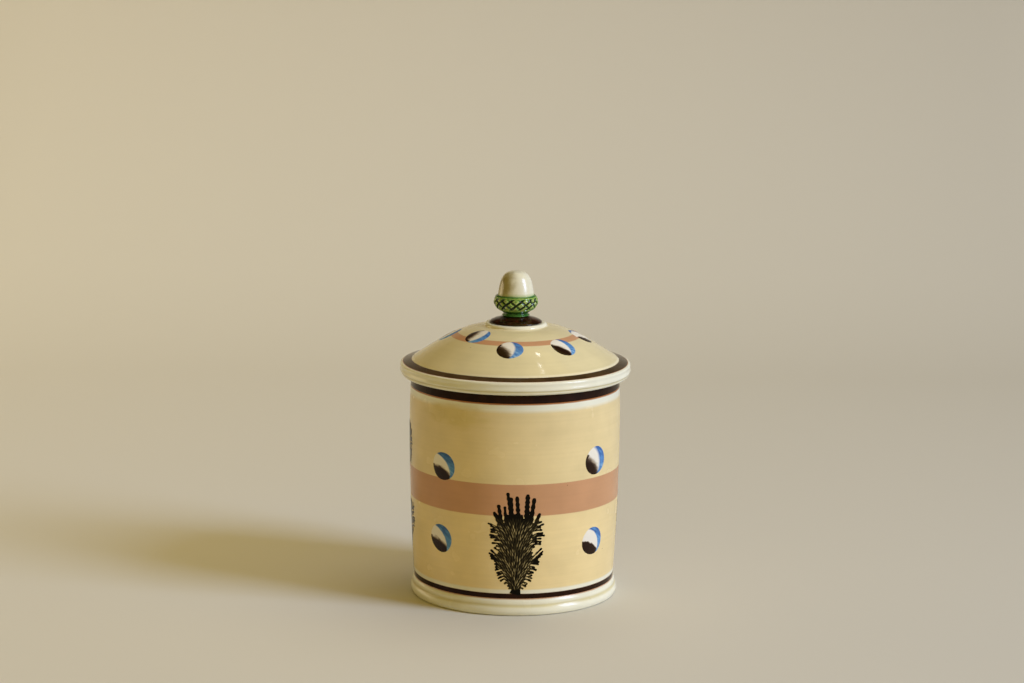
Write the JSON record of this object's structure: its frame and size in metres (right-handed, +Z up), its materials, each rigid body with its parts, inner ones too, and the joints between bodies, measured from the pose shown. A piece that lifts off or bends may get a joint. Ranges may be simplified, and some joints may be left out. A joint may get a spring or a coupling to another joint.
{
  "type": "lidded canister",
  "caption": "Round earthenware canister with a straight wall, a domed lift-off lid with an acorn knob, and slip bands and drops, for keeping dry food.",
  "frame": {"origin": "centre of the foot, on the surface that the canister stands on", "axes": "+Z up along the axis of the jar, -Y towards the front, where the picture is taken from"},
  "size_m": [0.142, 0.142, 0.201],
  "materials": {
    "yellow_slip": "yellow slip under a clear gloss glaze, on cream earthenware",
    "brown_slip": "dark brown slip under a clear gloss glaze",
    "pink_slip": "terracotta pink slip under a clear gloss glaze",
    "drop_slip": "white, blue and brown slip in one drop under a clear gloss glaze",
    "green_glaze": "green glaze pooled dark in the incised lattice",
    "cream_glaze": "clear gloss glaze on cream earthenware"
  },
  "bodies": {
    "jar": {"jar_body": "yellow_slip", "jar_foot_line": "brown_slip", "jar_middle_band": "pink_slip", "jar_rim_band": "brown_slip", "jar_drop_upper_1": "drop_slip", "jar_drop_upper_2": "drop_slip", "jar_drop_upper_3": "drop_slip", "jar_drop_upper_4": "drop_slip", "jar_drop_lower_1": "drop_slip", "jar_drop_lower_2": "drop_slip", "jar_drop_lower_3": "drop_slip", "jar_drop_lower_4": "drop_slip"},
    "lid": {"lid_dome": "yellow_slip", "knob_foot": "brown_slip", "acorn_cup": "green_glaze", "acorn_nut": "cream_glaze", "lid_edge_band": "brown_slip", "lid_crown_band": "pink_slip", "lid_drop_1": "drop_slip", "lid_drop_2": "drop_slip", "lid_drop_3": "drop_slip", "lid_drop_4": "drop_slip", "lid_drop_5": "drop_slip", "lid_drop_6": "drop_slip", "lid_drop_7": "drop_slip", "lid_drop_8": "drop_slip"}
  },
  "joints": [
    {"name": "lid_lift", "type": "slide", "parent": "jar", "child": "lid", "axis": [0, 0, 1], "range_m": [0, 0.16]}
  ]
}
